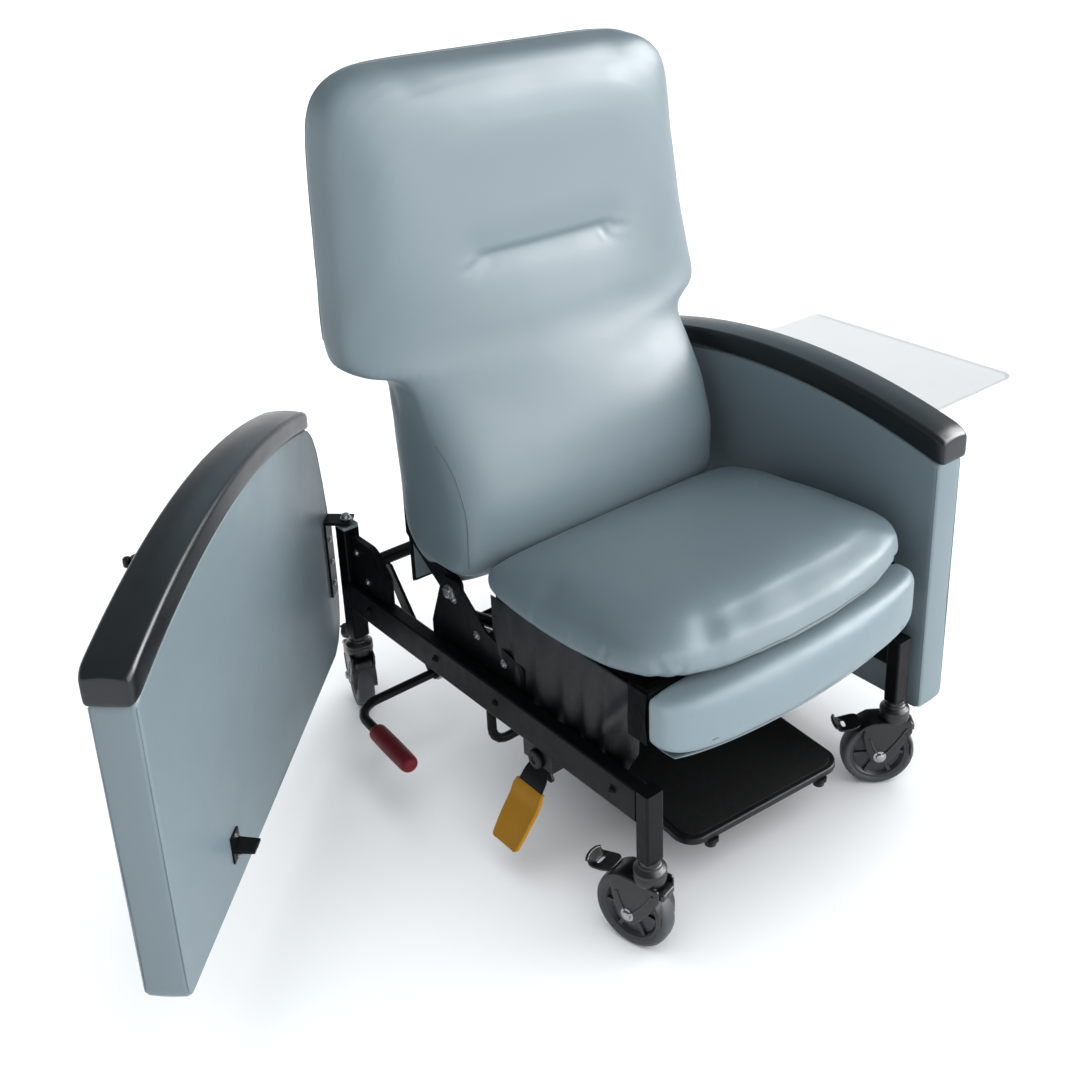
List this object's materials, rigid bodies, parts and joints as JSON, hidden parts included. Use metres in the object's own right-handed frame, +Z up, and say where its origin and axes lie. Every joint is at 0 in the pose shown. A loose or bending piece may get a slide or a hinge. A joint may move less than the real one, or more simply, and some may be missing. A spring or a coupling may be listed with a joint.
{
  "type": "patient recliner chair",
  "caption": "Hospital recliner chair with padded seat, reclining back, leg rest, swing-away arms, folding side trays, foot tray and braked swivel casters.",
  "frame": {"origin": "centre of the bounding box, on the floor under the wheels, in the rest pose with the left arm open and the right tray raised", "axes": "+Z up; the chair faces -Y; +X is to the right seen from the front"},
  "size_m": [1.5906, 0.9762, 1.196],
  "materials": {
    "vinyl": "satin",
    "frame_paint": "satin",
    "black_cloth": "matte",
    "black_plastic": "satin",
    "arm_cap_plastic": "satin",
    "tray_plastic": "satin",
    "grey_plastic": "matte",
    "wheel_rubber": "matte",
    "caster_plastic": "satin",
    "pedal_yellow": "satin",
    "grip_red": "satin"
  },
  "bodies": {
    "frame": {"rear_cross_tube": "frame_paint", "lever_hanger": "frame_paint", "seat_deck": "black_plastic", "seat_cushion": "vinyl", "foot_tray_channel": "frame_paint", "foot_tray_hanger": "frame_paint", "side_rail_left": "frame_paint", "front_post_left": "frame_paint", "rear_post_left": "frame_paint", "post_cap_left": "grey_plastic", "post_gusset_left": "frame_paint", "mechanism_plate_left": "frame_paint", "side_apron_left": "black_cloth", "latch_block_left": "black_plastic", "side_rail_right": "frame_paint", "front_post_right": "frame_paint", "rear_post_right": "frame_paint", "post_cap_right": "grey_plastic", "post_gusset_right": "frame_paint", "mechanism_plate_right": "frame_paint", "side_apron_right": "black_cloth", "latch_block_right": "black_plastic"},
    "arm_left": {"arm_panel_left": "vinyl", "arm_cap_left": "arm_cap_plastic", "arm_hinge_left": "frame_paint", "latch_striker_left": "frame_paint", "tray_bracket_left": "frame_paint"},
    "tray_left": {"side_tray_left": "tray_plastic"},
    "pedal_left": {"release_pedal_left": "pedal_yellow"},
    "arm_right": {"arm_panel_right": "vinyl", "arm_cap_right": "arm_cap_plastic", "arm_hinge_right": "frame_paint", "latch_striker_right": "frame_paint", "tray_bracket_right": "frame_paint"},
    "tray_right": {"side_tray_right": "tray_plastic"},
    "pedal_right": {"release_pedal_right": "pedal_yellow"},
    "back": {"back_cushion": "vinyl", "back_panel": "vinyl", "back_bracket_left": "frame_paint", "back_bracket_right": "frame_paint"},
    "leg_carriage": {"leg_rest_bar_left": "frame_paint", "leg_rest_bar_right": "frame_paint"},
    "leg_rest": {"leg_rest_board": "black_plastic", "leg_rest_pad": "vinyl"},
    "foot_tray": {"foot_tray": "black_plastic"},
    "lever": {"foot_lever": "frame_paint", "lever_grip": "grip_red"},
    "swivel_front_left": {"caster_fork_front_left": "caster_plastic"},
    "wheel_front_left": {"wheel_front_left": "wheel_rubber"},
    "brake_front_left": {"brake_pedal_front_left": "caster_plastic"},
    "swivel_front_right": {"caster_fork_front_right": "caster_plastic"},
    "wheel_front_right": {"wheel_front_right": "wheel_rubber"},
    "brake_front_right": {"brake_pedal_front_right": "caster_plastic"},
    "swivel_rear_left": {"caster_fork_rear_left": "caster_plastic"},
    "wheel_rear_left": {"wheel_rear_left": "wheel_rubber"},
    "brake_rear_left": {"brake_pedal_rear_left": "caster_plastic"},
    "swivel_rear_right": {"caster_fork_rear_right": "caster_plastic"},
    "wheel_rear_right": {"wheel_rear_right": "wheel_rubber"},
    "brake_rear_right": {"brake_pedal_rear_right": "caster_plastic"}
  },
  "joints": [
    {"name": "arm_left_swing", "type": "hinge", "parent": "frame", "child": "arm_left", "pos_m": [-0.14533, 0.38058, 0.35], "axis": [0, 0, -1], "range_deg": [-44.29, 0.7]},
    {"name": "arm_right_swing", "type": "hinge", "parent": "frame", "child": "arm_right", "pos_m": [0.41627, 0.38058, 0.35], "axis": [0, 0, 1], "range_deg": [0, 45]},
    {"name": "tray_left_fold", "type": "hinge", "parent": "arm_left", "child": "tray_left", "pos_m": [-0.5271, 0.14013, 0.605], "axis": [0.6983, 0.7159, 0], "range_deg": [0, 90]},
    {"name": "tray_right_fold", "type": "hinge", "parent": "arm_right", "child": "tray_right", "pos_m": [0.52167, -0.05812, 0.605], "axis": [0, 1, 0], "range_deg": [0, 90]},
    {"name": "back_recline", "type": "hinge", "parent": "frame", "child": "back", "pos_m": [0.13547, 0.08188, 0.38], "axis": [-1, 0, 0], "range_deg": [0, 47]},
    {"name": "leg_rest_slide", "type": "slide", "parent": "frame", "child": "leg_carriage", "axis": [0, -1, 0], "range_m": [0, 0.26]},
    {"name": "leg_rest_tilt", "type": "hinge", "parent": "leg_carriage", "child": "leg_rest", "pos_m": [0.13547, -0.39212, 0.425], "axis": [-1, 0, 0], "range_deg": [0, 80.5]},
    {"name": "foot_tray_slide", "type": "slide", "parent": "frame", "child": "foot_tray", "axis": [-0.0872, -0.9962, 0], "range_m": [0, 0.2]},
    {"name": "lever_press", "type": "hinge", "parent": "frame", "child": "lever", "pos_m": [-0.07253, 0.25188, 0.108], "axis": [1, 0, 0], "range_deg": [0, 18], "stiffness_Nm_per_rad": 6, "springref_deg": -22.92},
    {"name": "pedal_left_press", "type": "hinge", "parent": "frame", "child": "pedal_left", "pos_m": [-0.15253, -0.16812, 0.185], "axis": [0, -1, 0], "range_deg": [0, 14], "stiffness_Nm_per_rad": 3, "springref_deg": -11.46},
    {"name": "pedal_right_press", "type": "hinge", "parent": "frame", "child": "pedal_right", "pos_m": [0.42347, -0.16812, 0.185], "axis": [0, 1, 0], "range_deg": [0, 14], "stiffness_Nm_per_rad": 3, "springref_deg": -11.46},
    {"name": "swivel_front_left", "type": "hinge", "parent": "frame", "child": "swivel_front_left", "pos_m": [-0.14533, -0.40962, 0.15], "axis": [0, 0, 1], "continuous": true},
    {"name": "roll_front_left", "type": "hinge", "parent": "swivel_front_left", "child": "wheel_front_left", "pos_m": [-0.15162, -0.38439, 0.0625], "axis": [0.9703, 0.2419, 0], "continuous": true},
    {"name": "brake_front_left", "type": "hinge", "parent": "swivel_front_left", "child": "brake_front_left", "pos_m": [-0.16033, -0.34946, 0.121], "axis": [-0.9703, -0.2419, 0], "range_deg": [0, 12]},
    {"name": "swivel_front_right", "type": "hinge", "parent": "frame", "child": "swivel_front_right", "pos_m": [0.41627, -0.40962, 0.15], "axis": [0, 0, 1], "continuous": true},
    {"name": "roll_front_right", "type": "hinge", "parent": "swivel_front_right", "child": "wheel_front_right", "pos_m": [0.39578, -0.39361, 0.0625], "axis": [0.6157, 0.788, 0], "continuous": true},
    {"name": "brake_front_right", "type": "hinge", "parent": "swivel_front_right", "child": "brake_front_right", "pos_m": [0.36741, -0.37145, 0.121], "axis": [-0.6157, -0.788, 0], "range_deg": [0, 12]},
    {"name": "swivel_rear_left", "type": "hinge", "parent": "frame", "child": "swivel_rear_left", "pos_m": [-0.14533, 0.38058, 0.15], "axis": [0, 0, 1], "continuous": true},
    {"name": "roll_rear_left", "type": "hinge", "parent": "swivel_rear_left", "child": "wheel_rear_left", "pos_m": [-0.13644, 0.40501, 0.0625], "axis": [0.9397, -0.342, 0], "continuous": true},
    {"name": "brake_rear_left", "type": "hinge", "parent": "swivel_rear_left", "child": "brake_rear_left", "pos_m": [-0.12412, 0.43884, 0.121], "axis": [-0.9397, 0.342, 0], "range_deg": [0, 12]},
    {"name": "swivel_rear_right", "type": "hinge", "parent": "frame", "child": "swivel_rear_right", "pos_m": [0.41627, 0.38058, 0.15], "axis": [0, 0, 1], "continuous": true},
    {"name": "roll_rear_right", "type": "hinge", "parent": "swivel_rear_right", "child": "wheel_rear_right", "pos_m": [0.41265, 0.40633, 0.0625], "axis": [0.9903, 0.1392, 0], "continuous": true},
    {"name": "brake_rear_right", "type": "hinge", "parent": "swivel_rear_right", "child": "brake_rear_right", "pos_m": [0.40764, 0.44198, 0.121], "axis": [-0.9903, -0.1392, 0], "range_deg": [0, 12]}
  ],
  "couplings": [
    {"joint": "leg_rest_tilt", "follows": "leg_rest_slide", "rad_per_m": 5.37}
  ]
}
